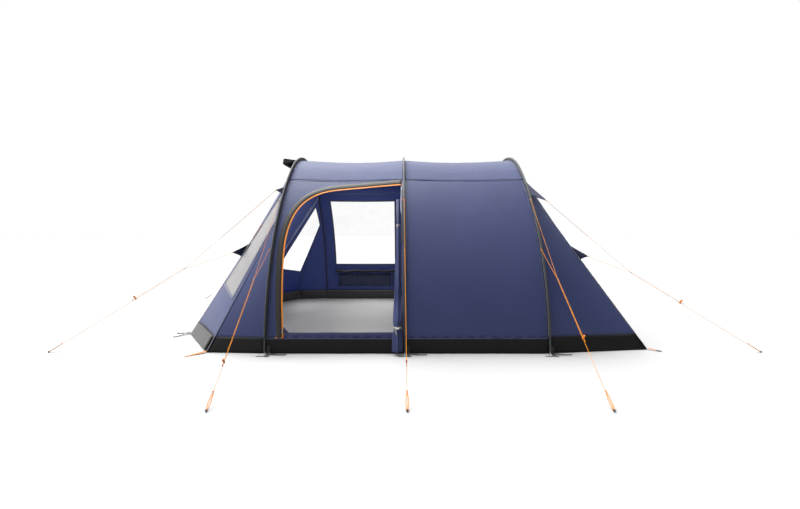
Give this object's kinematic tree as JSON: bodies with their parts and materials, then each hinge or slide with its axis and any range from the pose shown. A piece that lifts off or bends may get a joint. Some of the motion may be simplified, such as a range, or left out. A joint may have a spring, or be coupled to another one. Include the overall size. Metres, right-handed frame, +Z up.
{
  "type": "tunnel tent",
  "caption": "Tunnel tent on arched poles: living room with side door and windows, sloping ends, bedroom inner, ventilation hood and adjustable guylines.",
  "frame": {"origin": "on the ground under the middle of the whole footprint, guylines included", "axes": "+X runs along the tunnel from the front porch to the bedroom end, +Y points away from the door side, +Z up"},
  "size_m": [6.258, 4.698, 1.9592],
  "materials": {
    "pole": "satin glass-fibre rod",
    "ferrule": "plain steel tube",
    "elastic": "braided elastic",
    "steel": "zinc plated",
    "webbing": "woven black webbing",
    "buckle": "moulded",
    "sleeve": "dark grey coated polyester",
    "roof": "blue-grey coated polyester",
    "fly": "denim blue coated polyester",
    "window": "flexible clear film",
    "skirt": "dark mud skirt",
    "curtain": "rolled blackout cloth",
    "pocket": "dark blue cloth",
    "zip": "orange coil zip and tape",
    "tie": "pale elastic loop",
    "mesh": "fine insect mesh",
    "floor": "grey woven groundsheet",
    "inner": "light breathable polyester",
    "inner_floor": "blue-grey woven groundsheet",
    "line": "braided orange cord",
    "runner": "moulded orange runner",
    "prop": "moulded stiffener"
  },
  "bodies": {
    "tent": {"front_pole": "pole", "middle_pole": "pole", "rear_pole": "pole", "pole_ferrules": "ferrule", "pole_shock_cords": "elastic", "foot_pins": "steel", "foot_straps": "webbing", "foot_buckles": "buckle", "front_sleeve": "sleeve", "middle_sleeve": "sleeve", "rear_sleeve": "sleeve", "living_roof": "roof", "bedroom_roof": "roof", "door_wall": "fly", "window_wall": "fly", "bedroom_near_wall": "fly", "bedroom_far_wall": "fly", "front_near_gusset": "fly", "front_near_panel": "fly", "front_near_window": "window", "front_centre_panel": "roof", "front_far_panel": "fly", "front_far_window": "window", "front_far_gusset": "fly", "back_near_gusset": "fly", "back_panel": "fly", "back_far_gusset": "fly", "side_skirts": "skirt", "end_skirts": "skirt", "far_window": "window", "window_curtain": "curtain", "storage_pocket": "pocket", "side_door": "fly", "door_ties": "tie", "door_zip": "zip", "door_rain_strip": "sleeve", "vent_mesh": "mesh", "groundsheet": "floor", "inner_shell": "inner", "inner_front_wall": "inner", "inner_floor": "inner_floor", "inner_door": "inner", "inner_toggles": "buckle", "guylines": "line", "guy_tabs": "fly", "guy_peg_heads": "buckle"},
    "door_zip_slider": {"door_zip_slider": "steel"},
    "vent_hood": {"vent_hood": "sleeve"},
    "vent_prop": {"vent_prop": "prop"},
    "inner_zip_slider": {"inner_zip_slider": "steel"},
    "runner_1": {"runner_1": "runner"},
    "runner_2": {"runner_2": "runner"},
    "runner_3": {"runner_3": "runner"},
    "runner_4": {"runner_4": "runner"},
    "runner_5": {"runner_5": "runner"},
    "runner_6": {"runner_6": "runner"},
    "runner_7": {"runner_7": "runner"},
    "runner_8": {"runner_8": "runner"},
    "runner_9": {"runner_9": "runner"},
    "runner_10": {"runner_10": "runner"}
  },
  "joints": [
    {"name": "door_zip_travel", "type": "hinge", "parent": "tent", "child": "door_zip_slider", "pos_m": [-1.0531, 0.96, 0], "axis": [-0.998, 0, -0.0626], "range_deg": [0, 16.32]},
    {"name": "vent_hood_hinge", "type": "hinge", "parent": "tent", "child": "vent_hood", "pos_m": [-1.236, 0, 1.912], "axis": [0, -1, 0], "range_deg": [0, 48]},
    {"name": "vent_prop_fold", "type": "hinge", "parent": "tent", "child": "vent_prop", "pos_m": [-1.2665, 0, 1.832], "axis": [0, -1, 0], "range_deg": [0, 75.36]},
    {"name": "inner_zip_travel", "type": "slide", "parent": "tent", "child": "inner_zip_slider", "axis": [0, 0, 1], "range_m": [0, 0.68]},
    {"name": "runner_1_slide", "type": "slide", "parent": "tent", "child": "runner_1", "axis": [0.8198, 0.1701, 0.5468], "range_m": [0, 0.35]},
    {"name": "runner_2_slide", "type": "slide", "parent": "tent", "child": "runner_2", "axis": [-0.0428, 0.7712, 0.6351], "range_m": [0, 0.35]},
    {"name": "runner_3_slide", "type": "slide", "parent": "tent", "child": "runner_3", "axis": [0, 0.772, 0.6357], "range_m": [0, 0.35]},
    {"name": "runner_4_slide", "type": "slide", "parent": "tent", "child": "runner_4", "axis": [0.0191, 0.7718, 0.6356], "range_m": [0, 0.35]},
    {"name": "runner_5_slide", "type": "slide", "parent": "tent", "child": "runner_5", "axis": [-0.8209, 0.1666, 0.5462], "range_m": [0, 0.35]},
    {"name": "runner_6_slide", "type": "slide", "parent": "tent", "child": "runner_6", "axis": [0.8198, -0.1701, 0.5468], "range_m": [0, 0.35]},
    {"name": "runner_7_slide", "type": "slide", "parent": "tent", "child": "runner_7", "axis": [-0.0428, -0.7712, 0.6351], "range_m": [0, 0.35]},
    {"name": "runner_8_slide", "type": "slide", "parent": "tent", "child": "runner_8", "axis": [0, -0.772, 0.6357], "range_m": [0, 0.35]},
    {"name": "runner_9_slide", "type": "slide", "parent": "tent", "child": "runner_9", "axis": [0.0191, -0.7718, 0.6356], "range_m": [0, 0.35]},
    {"name": "runner_10_slide", "type": "slide", "parent": "tent", "child": "runner_10", "axis": [-0.8209, -0.1666, 0.5462], "range_m": [0, 0.35]}
  ],
  "couplings": [
    {"joint": "vent_prop_fold", "follows": "vent_hood_hinge", "ratio": 1.57}
  ]
}
